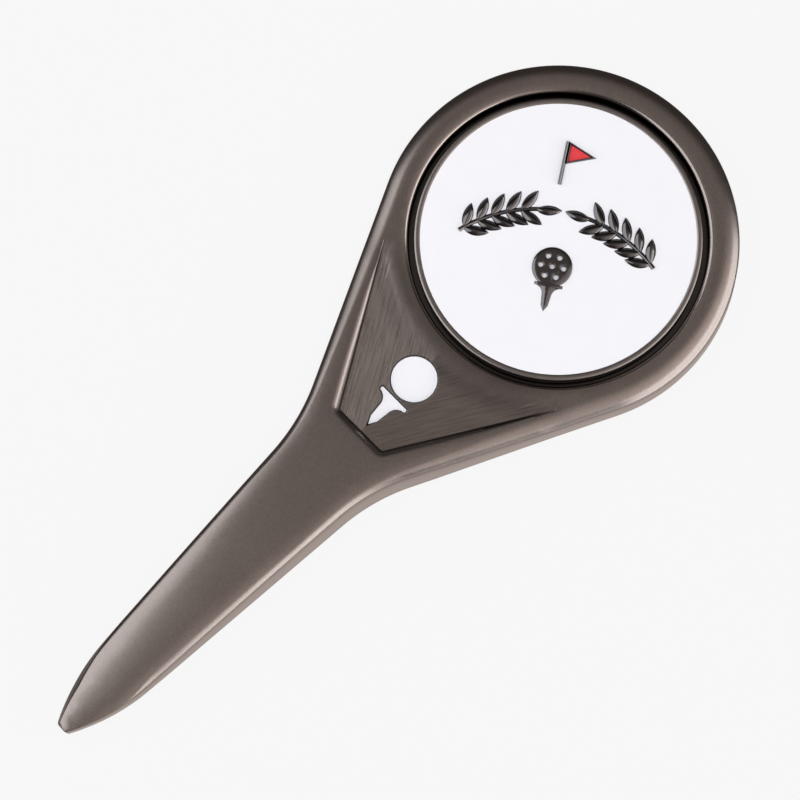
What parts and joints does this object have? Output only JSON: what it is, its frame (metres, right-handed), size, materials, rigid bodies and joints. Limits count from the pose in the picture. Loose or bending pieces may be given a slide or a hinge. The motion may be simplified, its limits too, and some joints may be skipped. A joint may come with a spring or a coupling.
{
  "type": "divot repair tool",
  "caption": "Single-prong golf divot repair tool with a round head that holds a removable magnetic ball marker under a raised neck and a tapered pointed prong.",
  "frame": {"origin": "on the flat back of the head, on the axis of the marker pocket", "axes": "+X along the prong towards its point, +Z out of the front face, away from the flat back"},
  "size_m": [0.076, 0.0318, 0.0048],
  "materials": {
    "body_plating": "satin",
    "marker_plating": "polished",
    "magnet_nickel": "satin",
    "white_enamel": "gloss",
    "red_enamel": "gloss",
    "adhesive": "satin"
  },
  "bodies": {
    "tool": {"tool_body": "body_plating", "body_inlay_enamel": "white_enamel", "pocket_magnet": "magnet_nickel", "magnet_adhesive": "adhesive"},
    "marker": {"marker_base": "marker_plating", "marker_enamel_white": "white_enamel", "marker_enamel_red": "red_enamel"}
  },
  "joints": [
    {"name": "marker_lift", "type": "slide", "parent": "tool", "child": "marker", "axis": [0, 0, 1], "range_m": [0, 0.02]}
  ]
}
